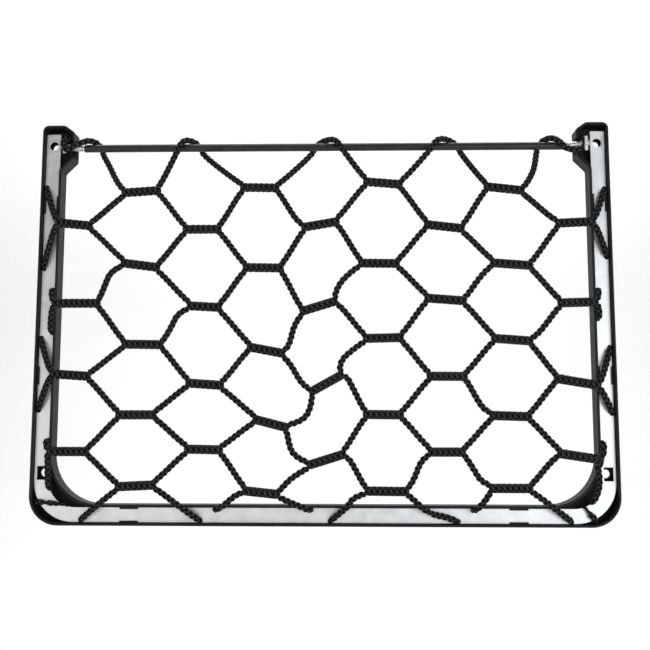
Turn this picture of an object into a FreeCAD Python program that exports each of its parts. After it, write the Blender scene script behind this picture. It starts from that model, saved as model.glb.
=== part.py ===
import FreeCAD, Part
import math
import os

# Elastic storage net in a rigid U-shaped frame that is screwed to a wall.
# Millimetres. +X runs along the top bar, +Z is up, and the wall is the plane y = 0: the room is at -Y.
# The origin is the middle of the four fixing holes, on the wall plane.

V = FreeCAD.Vector

# ---- Frame moulding: a U-shaped channel, open towards the room ----
FRAME_HALF_WIDTH = 225.0
FRAME_TOP = 145.5
FRAME_BOTTOM = -169.5
FRAME_DEPTH = 14.0
CHANNEL_WIDTH = 16.0
WALL = 2.0
OUTER_CORNER_R = 22.5
INNER_CORNER_R = 38.0
RIM_ROUND = 0.7

# ---- Head of each arm, which houses a spring ----
HEAD_INNER_X = 199.5
HEAD_SLANT_X = 207.2
HEAD_SLANT_FOOT_Z = 140.0
HEAD_CHAMFER_TOP_Z = 118.0
HEAD_CHAMFER_FOOT_Z = 108.5
HEAD_OUTER_R = 5.0
MOUTH_LOW_Z = 119.5
MOUTH_HIGH_Z = 133.0
MOUTH_FLOOR = 3.5

# ---- Fixing holes ----
HOLE_X = 217.0
HOLE_Z = 130.0
HOLE_R = 3.3

# ---- Steel strip, held at mid-depth in the channel ----
STRIP_WIDTH = 11.0
STRIP_THICK = 1.2
STRIP_FRONT = -10.0
STRIP_EDGE_GAP = 0.5
STRIP_TOP = 139.0
STRIP_OUTER_R = 31.0
STRIP_INNER_R = 21.0
STRIP_SLOT_WIDTH = 7.4
STRIP_SLOT_HEIGHT = 10.5
NOTCH_R = 1.9

# ---- Hook plates, against the strip's back at the upper screws; each holds a spring ----
HOOK_PLATE_FRONT = STRIP_FRONT + STRIP_THICK + 0.05
HOOK_PLATE_THICK = 1.2
HOOK_PLATE_INNER_X = 211.7
HOOK_PLATE_OUTER_X = 222.0
HOOK_PLATE_HALF_HEIGHT = 7.5
HOOK_PLATE_HOLE_R = 3.6
HOOK_HEAD_X = 207.5
HOOK_NECK_X = 210.0
HOOK_HALF_HEIGHT = 5.9
HOOK_NECK_HALF = 1.8
HOOK_Y = HOOK_PLATE_FRONT + HOOK_PLATE_THICK / 2
HOOK_Z = HOLE_Z

# ---- Lugs that hold the strip, and the ribs that it lies on ----
LUG_REACH = 1.6
LUG_THICK = 1.4
LUG_LENGTH = 14.0
RIB_THICK = 1.6
LUG_ARM_Z = (81.0, -55.0)
LUG_BOTTOM_X = 148.5

# ---- Top bar and its springs ----
BAR_R = 3.1
BAR_BORE_R = 2.1
BAR_HALF_LENGTH = 192.0
BAR_Y = STRIP_FRONT + STRIP_THICK / 2
BAR_Z = 127.5
PLUG_COLLAR = 0.8
PLUG_SHANK = 12.0
PLUG_STUD_R = 1.3
PLUG_STUD = 1.5
SPRING_R = 2.5
SPRING_WIRE_R = 0.4
SPRING_PITCH = 0.89
SPRING_TURNS = 14
SPRING_LOOP_R = 2.4
SPRING_START_X = BAR_HALF_LENGTH + PLUG_COLLAR + 0.9
SPRING_LOOP_X = 210.75
SPRING_SHANK_R = 0.34

# ---- Net: ten cords that zigzag from arm to arm, two neighbours lying together in each link ----
CORD_R = 1.95
LINK_CORD_R = 1.6
TIGHT_CORD_R = 1.35
LINK_OFFSET = 1.96
LINK_LEAD = 1.3
NET_Y = -16.4
TOP_LINK_Y = -14.6
OVER_STRIP_Y = -13.4
UNDER_STRIP_Y = -6.9
OUTER_DIVE_X = 221.1
INNER_DIVE_X = 212.9
ARM_RIM_X = 211.5
BOTTOM_RIM_Z = -156.0
JOINT_GAP = 0.02

# Links by column, top to bottom: the points at its left and right end where its two cords part.
LINK_ENDS = {
    -3: [((-159.5, 89.5), (-129, 91.5)), ((-158, 33), (-128, 29)), ((-156, -31), (-123.5, -31.5)),
         ((-159, -85.5), (-128, -85.5)), ((-158, -140), (-127, -138.5))],
    -2: [((-110, 59.5), (-80, 59.5)), ((-105.5, -1), (-79, -2.5)), ((-105.5, -61), (-76.5, -63)),
         ((-105.5, -111.5), (-76.5, -112))],
    -1: [((-65.5, 93.5), (-35, 93)), ((-62.5, 29), (-31, 28.5)), ((-58.5, -33), (-29.5, -38.5)),
         ((-53.5, -88.5), (-26, -95.5)), ((-61, -142.5), (-32.5, -145.5))],
    0: [((-17, 60.5), (12.5, 65.5)), ((-17.8, -6), (11, 2.8)), ((-10.3, -68.5), (15.8, -54)),
        ((-12, -123.8), (17.5, -114.6))],
    1: [((31.8, 97.8), (62.2, 95.2)), ((27.4, 32.2), (59.3, 31.8)), ((31.1, -26.8), (61.9, -26)),
        ((30.8, -85), (61.5, -85.3)), ((32, -142.6), (65, -142.9))],
    2: [((79, 62.8), (110, 59.2)), ((78.7, 4.7), (110.8, 2.3)), ((79.7, -55.8), (110.4, -56)),
        ((79.8, -113.3), (108.2, -113.3))],
    3: [((126.2, 93.4), (157.5, 89.8)), ((129.8, 32.2), (162.4, 29.8)), ((129.4, -26.6), (160.8, -28.9)),
        ((127, -85.6), (158.6, -86.6)), ((125.8, -140.3), (158, -140.3))],
}
# Links that cross an arm, top to bottom: x of the end inside the frame, its z, and z over the rim.
ARM_LINKS = {-1: [(182, 62.5, 65.5), (174, 1, 1), (179.5, -56, -54), (179, -113.5, -113.5)],
             1: [(181, 63.2, 64.5), (181, 0.6, 1.4), (176.3, -57.3, -63), (177.5, -114, -119)]}
# Where the cord passes round the strip's edges: z on the arms, x on the bottom run.
ARM_WRAPS = {-1: {"head": 112.0, "first": 95.5, "second": 29.5, "third": 12.5, "fourth": -21.5,
                  "fifth": -25.5, "sixth": -82.0, "seventh": -105.0},
             1: {"head": 112.0, "first": 92.5, "second": 37.5, "third": 11.5, "fourth": -11.0,
                 "fifth": -33.0, "sixth": -84.0, "seventh": -106.0}}
# Bottom loops between columns: x where the cord comes in, x where it leaves, and which edge is first.
BOTTOM_WRAPS = {-2: (-93.5, -82.0, "outer"), 0: (-9.0, 5.5, "inner"), 2: (102.7, 114.0, "outer")}
BOTTOM_END_X = {-1: -185.5, 1: 188.0}
# Corner loop: the inner edge where the cord comes up, the outer edge where it goes down again,
# and the inner edge where the neighbouring cord goes down.
CORNER_WRAPS = {-1: ((-196.8, -153.8), (-220.8, -151.6), (-209.2, -141.2)),
                1: ((197.0, -153.7), (206.5, -165.3), (202.6, -150.4))}
# Humps over the bar: x of the leg in front, x of the leg behind, by column.
BAR_WRAPS = {-2: (-116.0, -97.5), 0: (15.5, -9.5), 2: (84.5, 110.0)}
BAR_END_WRAP = {-1: (-193.0, -178.3), 1: (186.0, 170.0)}
# Cord 1 in the heads: from the bar's end in front of the spring, once round it beside the spring's hook,
# and down behind the strip's inner edge.
HEAD_ROUTE = {
    -1: [(-193.0, -15.6, 130.3, CORD_R), (-197.8, -15.3, 129.3, CORD_R), (-203.2, -15.0, 124.6, CORD_R),
         (-207.3, -15.4, 126.8, CORD_R), (-208.0, -15.0, 132.6, CORD_R), (-204.8, -9.6, 137.0, TIGHT_CORD_R),
         (-204.4, -4.1, 131.8, TIGHT_CORD_R), (-204.6, -4.1, 123.5, TIGHT_CORD_R),
         (-207.6, -6.0, 116.8, TIGHT_CORD_R)],
    1: [(186.5, -15.5, 129.0, CORD_R), (190.5, -15.0, 123.9, CORD_R), (197.0, -14.2, 122.7, CORD_R),
        (202.6, -14.6, 122.9, TIGHT_CORD_R), (204.8, -15.4, 126.8, TIGHT_CORD_R),
        (204.8, -15.0, 132.6, TIGHT_CORD_R), (204.6, -9.6, 136.6, TIGHT_CORD_R),
        (204.4, -4.1, 131.8, TIGHT_CORD_R), (204.6, -4.1, 123.5, TIGHT_CORD_R),
        (207.6, -6.0, 116.8, TIGHT_CORD_R)],
}
# Cord 9 along the inner rim of each bottom corner.
CORNER_RUN = {-1: [(-210.2, -118.5), (-210.4, -125.0), (-210.0, -132.5)],
              1: [(206.8, -123.5), (208.2, -131.0), (207.8, -139.0), (205.8, -145.5)]}
# Where a cord bends between two links: (x, z), or (x, depth, z) where it is not in the net's plane, by
# cord and by the column to its left. Column -4 is the left arm.
SLACK = {
    (1, -4): [(-176.3, -5.0, 120.5), (-170.5, -8.5, 110.5), (-165, -13.0, 100)],
    (1, 3): [(161.5, -13.0, 98.5), (167, -9.0, 109)],
    (2, -1): [(-25.5, 73.5), (-21.5, 67.5)],
    (2, 3): [(174.5, 70.3)],
    (4, -4): [(-170.5, 15), (-167, 25)],
    (4, 0): [(9.5, 8.5), (12.5, 15.5), (18.5, 22.5)],
    (4, 2): [(121.5, 21.3)],
    (5, -3): [(-118, -18.5), (-113.5, -8)],
    (5, -1): [(-26, -32), (-22.5, -16.5)],
    (5, 0): [(16.5, -5)],
    (5, 3): [(167, -21.5)],
    (6, -1): [(-24.5, -47.5), (-20.5, -54.5), (-16.5, -61)],
    (6, 0): [(12.9, -49.5), (14, -44.5), (18, -39.3)],
    (7, -1): [(-13.5, -88.5), (-9, -78.5)],
    (7, 0): [(18.5, -56.5), (22.3, -63.5)],
    (7, 2): [(117, -72.5), (122, -80.5)],
    (8, -1): [(-25.5, -109), (-22, -116)],
    (9, -1): [(-26, -135), (-19, -130)],
    (9, 0): [(21, -119.5), (30, -136.5)],
    (9, 1): [(69, -134), (74, -120.5)],
    (9, 2): [(114, -126), (119, -134.7)],
    (9, 3): [(173, -119.3)],
    (10, -2): [(-76, -154.5), (-72, -151), (-65.5, -145.5)],
    (10, -1): [(-26.5, -150.5), (-17, -154.3)],
    (10, 0): [(18.5, -154.5), (22, -149), (27, -146.2)],
    (10, 1): [(75.5, -155.5), (84, -160.5), (93, -162)],
    (10, 2): [(120.5, -152), (125, -145.5)],
}


def rounded_face(corners, y):
    """A flat face at depth y whose outline has the given (x, z, corner radius) points."""
    points = [V(x, y, z) for x, z, _ in corners]
    count = len(corners)
    arcs = []
    for i, (_, _, radius) in enumerate(corners):
        here = points[i]
        back = (points[i - 1] - here).normalize()
        ahead = (points[(i + 1) % count] - here).normalize()
        if radius == 0:
            arcs.append((here, None, here))
            continue
        half = back.getAngle(ahead) / 2
        middle = (back + ahead).normalize()
        reach = radius / math.tan(half)
        inside = here + middle * (radius / math.sin(half) - radius)
        arcs.append((here + back * reach, inside, here + ahead * reach))
    edges = []
    for i, (start, inside, end) in enumerate(arcs):
        if inside is not None:
            edges.append(Part.Arc(start, inside, end).toShape())
        following = arcs[(i + 1) % count][0]
        if (following - end).Length > 1e-6:
            edges.append(Part.LineSegment(end, following).toShape())
    return Part.Face(Part.Wire(edges))


def block(x0, x1, y0, y1, z0, z1):
    return Part.makeBox(x1 - x0, y1 - y0, z1 - z0, V(x0, y0, z0))


def mirrored(side, x0, x1):
    """The x range of a feature on one side: side is -1 on the left and 1 on the right."""
    return (x0, x1) if side > 0 else (-x1, -x0)


def frame_outline():
    """The U's outline, anticlockwise from the left arm's outer top corner, with its arms' heads."""
    inner_x = FRAME_HALF_WIDTH - CHANNEL_WIDTH
    right = [
        (FRAME_HALF_WIDTH, FRAME_BOTTOM, OUTER_CORNER_R),
        (FRAME_HALF_WIDTH, FRAME_TOP, HEAD_OUTER_R),
        (HEAD_SLANT_X, FRAME_TOP, 4.0),
        (HEAD_INNER_X, HEAD_SLANT_FOOT_Z, 3.0),
        (HEAD_INNER_X, HEAD_CHAMFER_TOP_Z, 2.5),
        (inner_x, HEAD_CHAMFER_FOOT_Z, 3.0),
        (inner_x, FRAME_BOTTOM + CHANNEL_WIDTH, INNER_CORNER_R),
    ]
    left = [(-x, z, r) for x, z, r in reversed(right)]
    return right + left


def make_frame_channel():
    face = rounded_face(frame_outline(), 0)
    body = face.extrude(V(0, -FRAME_DEPTH, 0))
    cavity_face = face.makeOffset2D(-WALL)
    cavity_face.translate(V(0, -WALL, 0))
    body = body.cut(cavity_face.extrude(V(0, -FRAME_DEPTH, 0)))
    rim = [e for e in body.Edges if all(abs(v.Point.y + FRAME_DEPTH) < 1e-6 for v in e.Vertexes)]
    body = body.makeFillet(RIM_ROUND, rim)
    for side in (-1, 1):
        x0, x1 = mirrored(side, HEAD_INNER_X - 1, HEAD_INNER_X + WALL + 0.5)
        mouth = block(x0, x1, -FRAME_DEPTH - 1, -MOUTH_FLOOR, MOUTH_LOW_Z, MOUTH_HIGH_Z)
        body = body.cut(mouth)
        for z in (-HOLE_Z, HOLE_Z):
            body = body.cut(Part.makeCylinder(HOLE_R, WALL + 2, V(side * HOLE_X, 1, z), V(0, -1, 0)))
    return body.fuse(lugs_and_ribs()).removeSplitter()


def lugs_and_ribs():
    """Small lugs in front of the strip's edges, and cross ribs behind it, in one shape."""
    outer_x = FRAME_HALF_WIDTH - WALL
    inner_x = FRAME_HALF_WIDTH - CHANNEL_WIDTH + WALL
    low_z = FRAME_BOTTOM + WALL
    high_z = FRAME_BOTTOM + CHANNEL_WIDTH - WALL
    lug_y = (STRIP_FRONT - 0.1 - LUG_THICK, STRIP_FRONT - 0.1)
    rib_y = (STRIP_FRONT + STRIP_THICK + 0.1, -WALL / 2)
    bite = WALL / 2
    half = LUG_LENGTH / 2
    shapes = []
    for side in (-1, 1):
        for z in LUG_ARM_Z:
            for reach in ((outer_x - LUG_REACH, outer_x + bite), (inner_x - bite, inner_x + LUG_REACH)):
                x0, x1 = mirrored(side, *reach)
                shapes.append(block(x0, x1, *lug_y, z - half, z + half))
            x0, x1 = mirrored(side, inner_x - bite, outer_x + bite)
            for rib_z in (z - half, z + half):
                shapes.append(block(x0, x1, *rib_y, rib_z - RIB_THICK / 2, rib_z + RIB_THICK / 2))
        x = side * LUG_BOTTOM_X
        for z0, z1 in ((low_z - bite, low_z + LUG_REACH), (high_z - LUG_REACH, high_z + bite)):
            shapes.append(block(x - half, x + half, *lug_y, z0, z1))
        for rib_x in (x - half, x + half):
            shapes.append(block(rib_x - RIB_THICK / 2, rib_x + RIB_THICK / 2, *rib_y,
                                low_z - bite, high_z + bite))
    return Part.makeCompound(shapes)


def strip_notches():
    """Centres (x, z) of the round bites in the strip's edges that the cord sits in."""
    outer_z = FRAME_BOTTOM + FRAME_HALF_WIDTH - OUTER_DIVE_X
    inner_z = FRAME_BOTTOM + FRAME_HALF_WIDTH - INNER_DIVE_X
    centres = []
    for side in (-1, 1):
        z = ARM_WRAPS[side]
        centres += [(side * OUTER_DIVE_X, z[k]) for k in ("first", "second", "fifth", "sixth")]
        centres += [(side * INNER_DIVE_X, z[k]) for k in ("third", "fourth", "seventh")]
        centres += [(BOTTOM_END_X[side], outer_z), *CORNER_WRAPS[side]]
    for first, second, edge in BOTTOM_WRAPS.values():
        outer, inner = (first, second) if edge == "outer" else (second, first)
        centres += [(outer, outer_z), (inner, inner_z)]
    return centres


def make_strip():
    """One flat U of steel with a slot at each screw."""
    outer_x = FRAME_HALF_WIDTH - WALL - STRIP_EDGE_GAP
    inner_x = outer_x - STRIP_WIDTH
    outer_z = FRAME_BOTTOM + WALL + STRIP_EDGE_GAP
    inner_z = outer_z + STRIP_WIDTH
    right = [(outer_x, outer_z, STRIP_OUTER_R), (outer_x, STRIP_TOP, 0.6), (inner_x, STRIP_TOP, 0.6),
             (inner_x, inner_z, STRIP_INNER_R)]
    left = [(-x, z, r) for x, z, r in reversed(right)]
    strip = rounded_face(right + left, STRIP_FRONT).extrude(V(0, STRIP_THICK, 0))
    tools = []
    for x, z in strip_notches():
        tools.append(Part.makeCylinder(NOTCH_R, 4, V(x, STRIP_FRONT - 1, z), V(0, 1, 0)))
    for side in (-1, 1):
        for z in (-HOLE_Z, HOLE_Z):
            half_x, half_z = STRIP_SLOT_WIDTH / 2, STRIP_SLOT_HEIGHT / 2
            x = side * HOLE_X
            tools.append(block(x - half_x, x + half_x, STRIP_FRONT - 1, STRIP_FRONT + 3,
                               z - half_z, z + half_z))
    return strip.cut(Part.makeCompound(tools))


def make_hook_plate(side):
    """A stamped plate with a round hole for the screw and a hammer head that sticks out to the spring."""
    inner_x, outer_x = HOOK_PLATE_INNER_X, HOOK_PLATE_OUTER_X
    low, high = HOOK_Z - HOOK_PLATE_HALF_HEIGHT, HOOK_Z + HOOK_PLATE_HALF_HEIGHT
    outline = [(outer_x, low, 1.0), (outer_x, high, 1.0), (inner_x, high, 1.0),
               (inner_x, HOOK_Z + HOOK_NECK_HALF, 0), (HOOK_NECK_X, HOOK_Z + HOOK_NECK_HALF, 0),
               (HOOK_NECK_X, HOOK_Z + HOOK_HALF_HEIGHT, 0.5), (HOOK_HEAD_X, HOOK_Z + HOOK_HALF_HEIGHT, 0.8),
               (HOOK_HEAD_X, HOOK_Z - HOOK_HALF_HEIGHT, 0.8), (HOOK_NECK_X, HOOK_Z - HOOK_HALF_HEIGHT, 0.5),
               (HOOK_NECK_X, HOOK_Z - HOOK_NECK_HALF, 0), (inner_x, HOOK_Z - HOOK_NECK_HALF, 0),
               (inner_x, low, 1.0)]
    corners = [(side * x, z, r) for x, z, r in outline[::side]]
    plate = rounded_face(corners, HOOK_PLATE_FRONT).extrude(V(0, HOOK_PLATE_THICK, 0))
    hole_start = V(side * HOLE_X, HOOK_PLATE_FRONT - 1, HOLE_Z)
    return plate.cut(Part.makeCylinder(HOOK_PLATE_HOLE_R, HOOK_PLATE_THICK + 2, hole_start, V(0, 1, 0)))


def make_bar_tube():
    start = V(-BAR_HALF_LENGTH, BAR_Y, BAR_Z)
    length = 2 * BAR_HALF_LENGTH
    tube = Part.makeCylinder(BAR_R, length, start, V(1, 0, 0))
    ends = [e for e in tube.Edges if e.Closed and hasattr(e.Curve, "Radius")]
    tube = tube.makeFillet(0.4, ends)
    return tube.cut(Part.makeCylinder(BAR_BORE_R, length, start, V(1, 0, 0)))


def make_bar_plug(side):
    """A turned plug in the bar's end: a shank in the bore, a collar, and a short stud for the spring."""
    def disc(radius, from_x, to_x):
        return Part.makeCylinder(radius, to_x - from_x, V(side * from_x, BAR_Y, BAR_Z), V(side, 0, 0))

    end = BAR_HALF_LENGTH
    plug = disc(BAR_BORE_R - 0.02, end - PLUG_SHANK, end + 0.05)
    plug = plug.fuse(disc(BAR_R - 0.4, end + 0.02, end + PLUG_COLLAR))
    return plug.fuse(disc(PLUG_STUD_R, end + PLUG_COLLAR, end + PLUG_COLLAR + PLUG_STUD)).removeSplitter()


def make_spring(side):
    """A close-wound coil from the bar's plug to the hook plate, with a loop round the hook's neck."""
    start = V(side * SPRING_START_X, BAR_Y, BAR_Z)
    loop_centre = V(side * SPRING_LOOP_X, HOOK_Y, HOOK_Z)
    along = (loop_centre - start).normalize()
    height = SPRING_PITCH * SPRING_TURNS
    profile = Part.Wire(Part.makeCircle(SPRING_WIRE_R, V(SPRING_R, 0, 0), V(0, 1, 0)))
    coil = Part.Wire(Part.makeHelix(SPRING_PITCH, height, SPRING_R)).makePipeShell([profile], True, True)
    turn = FreeCAD.Rotation(V(0, 0, 1), along)
    room = turn.inverted().multVec(V(0, -1, 0))
    spin = FreeCAD.Rotation(V(0, 0, 1), math.degrees(math.atan2(room.y, room.x)))
    coil.Placement = FreeCAD.Placement(start, turn.multiply(spin))
    loop = Part.makeTorus(SPRING_LOOP_R, SPRING_WIRE_R, loop_centre, V(1, 0, 0))
    leave = start + along * height + V(0, -SPRING_R, 0)
    arrive = loop_centre + V(0, -SPRING_LOOP_R, 0)
    shank = Part.makeCylinder(SPRING_SHANK_R, (arrive - leave).Length, leave, arrive - leave)
    return coil.fuse(loop.fuse(shank))


def half_space(point, normal):
    """A block whose near face passes through the point, on the side that the normal points to."""
    size = 14.0
    tool = Part.makeBox(size, size, size, V(-size / 2, -size / 2, 0))
    tool.Placement = FreeCAD.Placement(point, FreeCAD.Rotation(V(0, 0, 1), normal))
    return tool


def cord_solids(route):
    """Straight round pieces that meet face to face, mitred at each corner. A point is (x, y, z, radius),
    and the radius is that of the piece that follows the point."""
    points = [V(*p[:3]) for p in route]
    steps = [(b - a).normalize() for a, b in zip(points, points[1:])]
    solids = []
    for i, along in enumerate(steps):
        radius = route[i][3]
        start, end = points[i], points[i + 1]
        reach = 2.2 * radius
        piece = Part.makeCylinder(radius, (end - start).Length + 2 * reach, start - along * reach, along)
        before = steps[i - 1] if i > 0 else along
        after = steps[i + 1] if i + 1 < len(steps) else along
        start_normal = (before + along).normalize() * -1
        end_normal = (along + after).normalize()
        gap = JOINT_GAP / 2
        piece = piece.cut(half_space(start - start_normal * gap, start_normal))
        piece = piece.cut(half_space(end - end_normal * gap, end_normal))
        solids += piece.Solids
    return solids


def link_half(left, right, y, above):
    """The two route points of one cord's half of a link, from left to right."""
    run = V(right[0] - left[0], 0, right[1] - left[1]).normalize()
    shift = V(-run.z, 0, run.x) * (LINK_OFFSET if above else -LINK_OFFSET)
    start = V(left[0], y, left[1]) + run * LINK_LEAD + shift
    end = V(right[0], y, right[1]) - run * LINK_LEAD + shift
    return [(*start, LINK_CORD_R), (*end, CORD_R)]


def bar_hump(front_x, back_x):
    """The cord's route over the bar, from the leg in front to the leg behind."""
    quarter = (back_x - front_x) / 4
    profile = [(0, -6.0, -2.8), (1, -4.4, 5.4), (3, 4.4, 5.4), (4, 6.0, -2.8)]
    return [(front_x + quarter * n, BAR_Y + dy, BAR_Z + dz, CORD_R) for n, dy, dz in profile]


def bottom_wrap(first_x, second_x, edge):
    """Once round the bottom run of the strip, from left to right: down at one edge, up at the other."""
    outer_z = FRAME_BOTTOM + FRAME_HALF_WIDTH - OUTER_DIVE_X
    inner_z = FRAME_BOTTOM + FRAME_HALF_WIDTH - INNER_DIVE_X
    outer_x, inner_x = (first_x, second_x) if edge == "outer" else (second_x, first_x)
    loop = [(outer_x, OVER_STRIP_Y, outer_z), (outer_x, UNDER_STRIP_Y, outer_z),
            (inner_x, UNDER_STRIP_Y, inner_z), (inner_x, NET_Y, inner_z)]
    if edge == "inner":
        loop.reverse()
    radii = (TIGHT_CORD_R, TIGHT_CORD_R, TIGHT_CORD_R, CORD_R)
    return [(*p, r) for p, r in zip(loop, radii)]


def arm_end(cord, side):
    """The route of a cord's end round the strip in one arm, from its last link outwards."""
    z = ARM_WRAPS[side]
    outer, inner = side * OUTER_DIVE_X, side * INNER_DIVE_X
    middle = side * (OUTER_DIVE_X + INNER_DIVE_X) / 2

    def half_way(a, b):
        return (middle, UNDER_STRIP_Y, (z[a] + z[b]) / 2, TIGHT_CORD_R)

    def outer_end(key, other):
        return [(outer, OVER_STRIP_Y, z[key], TIGHT_CORD_R),
                (outer, UNDER_STRIP_Y, z[key], TIGHT_CORD_R), half_way(key, other)]

    def inner_end(key, other):
        return [(inner, NET_Y, z[key], TIGHT_CORD_R),
                (inner, UNDER_STRIP_Y, z[key], TIGHT_CORD_R), half_way(key, other)]

    ends = {2: ("first", "head"), 3: ("second", "third"), 4: ("third", "second"),
            5: ("fourth", "fifth"), 6: ("fifth", "fourth"), 7: ("sixth", "seventh"),
            8: ("seventh", "sixth")}
    if cord in ends:
        key, other = ends[cord]
        return outer_end(key, other) if cord in (2, 3, 6, 7) else inner_end(key, other)
    if cord == 1:
        return [*HEAD_ROUTE[side], (inner, UNDER_STRIP_Y, z["head"], TIGHT_CORD_R), half_way("head", "first")]
    up, down, last = CORNER_WRAPS[side]
    if cord == 9:
        return [(x, NET_Y, z, CORD_R) for x, z in CORNER_RUN[side]] + [
            (last[0], NET_Y, last[1], TIGHT_CORD_R), (last[0], UNDER_STRIP_Y, last[1], TIGHT_CORD_R),
            ((last[0] + down[0]) / 2, UNDER_STRIP_Y, (last[1] + down[1]) / 2, TIGHT_CORD_R)]
    outer_z = FRAME_BOTTOM + FRAME_HALF_WIDTH - OUTER_DIVE_X
    first = (BOTTOM_END_X[side], outer_z)
    return [(first[0], OVER_STRIP_Y, first[1], TIGHT_CORD_R),
            (first[0], UNDER_STRIP_Y, first[1], TIGHT_CORD_R),
            (up[0], UNDER_STRIP_Y, up[1], TIGHT_CORD_R), (up[0], OVER_STRIP_Y, up[1], CORD_R),
            (down[0], OVER_STRIP_Y, down[1], TIGHT_CORD_R), (down[0], UNDER_STRIP_Y, down[1], TIGHT_CORD_R),
            ((last[0] + down[0]) / 2, UNDER_STRIP_Y, (last[1] + down[1]) / 2, TIGHT_CORD_R)]


def reversed_route(route):
    """The same route walked the other way, with each piece keeping its radius."""
    points = [p[:3] for p in route]
    radii = [p[3] for p in route[:-1]]
    points.reverse()
    radii.reverse()
    return [(*p, r) for p, r in zip(points, radii + radii[-1:])]


def arm_link_half(side, level, above):
    """A cord's half of the link that crosses an arm, from inside the frame outwards."""
    x, z, rim_z = ARM_LINKS[side][level // 2 - 1]
    shift = LINK_OFFSET if above else -LINK_OFFSET
    return [(side * (x + LINK_LEAD), NET_Y, z + shift, LINK_CORD_R),
            (side * ARM_RIM_X, NET_Y, rim_z + shift, CORD_R)]


def lifted_over_bottom_rim(route):
    """The same route with a point on the bottom run's inner rim wherever it crosses to the strip."""
    lifted = route[:1]
    for before, after in zip(route, route[1:]):
        share = (before[2] - BOTTOM_RIM_Z) / ((before[2] - after[2]) or 1)
        if 0 < share < 1 and OVER_STRIP_Y in (before[1], after[1]) and NET_Y in (before[1], after[1]):
            x = before[0] + (after[0] - before[0]) * share
            lifted.append((x, NET_Y, BOTTOM_RIM_Z, before[3]))
        lifted.append(after)
    return lifted


def slack_points(cord, column):
    """The bends of a cord between the link of one column and the next."""
    points = []
    for *place, z in SLACK.get((cord, column), []):
        x = place[0]
        y = place[1] if len(place) == 2 else (OVER_STRIP_Y if z < BOTTOM_RIM_Z else NET_Y)
        points.append((x, y, z, CORD_R))
    return points


def column_points(cord, column):
    """The cord's route in one column: half of a link, a hump over the bar, or a turn round the strip."""
    above = (cord - column) % 2 == 0
    level = cord if above else cord - 1
    if level == 0:
        front, back = BAR_WRAPS[column]
        hump = bar_hump(front, back)
        return hump if front < back else reversed_route(hump)
    if level == 10:
        return bottom_wrap(*BOTTOM_WRAPS[column])
    left, right = LINK_ENDS[column][(level - 1) // 2]
    return link_half(left, right, TOP_LINK_Y if level == 1 else NET_Y, above)


def arm_points(cord, side):
    """The cord's route from its last bend inside the frame to its end under the strip."""
    end = arm_end(cord, side)
    if cord == 1:
        front, back = BAR_END_WRAP[side]
        return reversed_route(bar_hump(front, back)[1:]) + end
    if cord == 10:
        return end
    above = cord % 2 == 0
    return arm_link_half(side, cord if above else cord - 1, above) + end


def cord_route(cord):
    """The whole route of one cord, from left to right. Cord n lies in the lower half of the links of
    level n - 1 and in the upper half of those of level n. Level 0 is the bar and level 10 the strip's
    bottom run."""
    route = reversed_route(arm_points(cord, -1)) + slack_points(cord, -4)
    for column in range(-3, 4):
        route += column_points(cord, column) + slack_points(cord, column)
    return lifted_over_bottom_rim(route + arm_points(cord, 1))


def export(name, shape):
    shape.exportStep("parts/" + name + ".step")


os.makedirs("parts", exist_ok=True)
export("frame_channel", make_frame_channel())
export("steel_strip", make_strip())
export("bar_tube", make_bar_tube())
for side, word in ((-1, "left"), (1, "right")):
    export("hook_plate_" + word, make_hook_plate(side))
    export("bar_plug_" + word, make_bar_plug(side))
    export("spring_" + word, make_spring(side))
for number in range(1, 11):
    route = cord_route(number)
    length = sum(math.dist(a[:3], b[:3]) for a, b in zip(route, route[1:]))
    print("net_cord_%02d length %.0f mm" % (number, length))
    export("net_cord_%02d" % number, Part.makeCompound(cord_solids(route)))
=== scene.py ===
import math

import bpy
import numpy as np
from mathutils import Matrix, Vector


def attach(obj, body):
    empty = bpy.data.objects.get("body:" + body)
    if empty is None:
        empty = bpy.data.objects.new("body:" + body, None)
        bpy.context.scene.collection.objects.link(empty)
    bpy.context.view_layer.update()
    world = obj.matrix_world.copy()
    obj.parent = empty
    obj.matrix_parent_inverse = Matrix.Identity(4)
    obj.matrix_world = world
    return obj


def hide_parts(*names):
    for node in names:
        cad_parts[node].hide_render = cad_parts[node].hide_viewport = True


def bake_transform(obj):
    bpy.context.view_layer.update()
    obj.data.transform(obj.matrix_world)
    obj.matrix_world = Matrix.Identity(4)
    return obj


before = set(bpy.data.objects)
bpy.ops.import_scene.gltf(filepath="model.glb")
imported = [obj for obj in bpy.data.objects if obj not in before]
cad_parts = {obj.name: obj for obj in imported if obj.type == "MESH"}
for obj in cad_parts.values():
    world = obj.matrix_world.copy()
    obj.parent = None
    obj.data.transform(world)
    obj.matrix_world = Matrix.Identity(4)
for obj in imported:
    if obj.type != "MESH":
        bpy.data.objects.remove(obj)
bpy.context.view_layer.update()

# Looks of an elastic storage net in a U-shaped wall frame. Blender works in metres; the tables of the
# net's route are in millimetres, as in the CAD source, and are turned into metres where they are used.
MM = 0.001

# ---- The net's route (millimetres, row frame) ----
# The listed points are those of the CAD cords. The braid is a little thinner than the CAD cords in a
# link and at the strip, so LINK_OFFSET, OVER_STRIP_Y and INNER_DIVE_X are a little smaller here.
# Depths and edges that the cords keep to: the net's plane, over and under the strip, and where a cord
# dives past the strip's edges or crosses the frame's inner rim.
NET_Y = -16.4
TOP_LINK_Y = -14.6
OVER_STRIP_Y = -12.6
UNDER_STRIP_Y = -6.9
OUTER_DIVE_X = 221.1
INNER_DIVE_X = 212.5
ARM_RIM_X = 211.5
BOTTOM_DIVE_OUTER_Z = -165.6
BOTTOM_DIVE_INNER_Z = -157.4
BOTTOM_RIM_Z = -156.0
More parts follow.
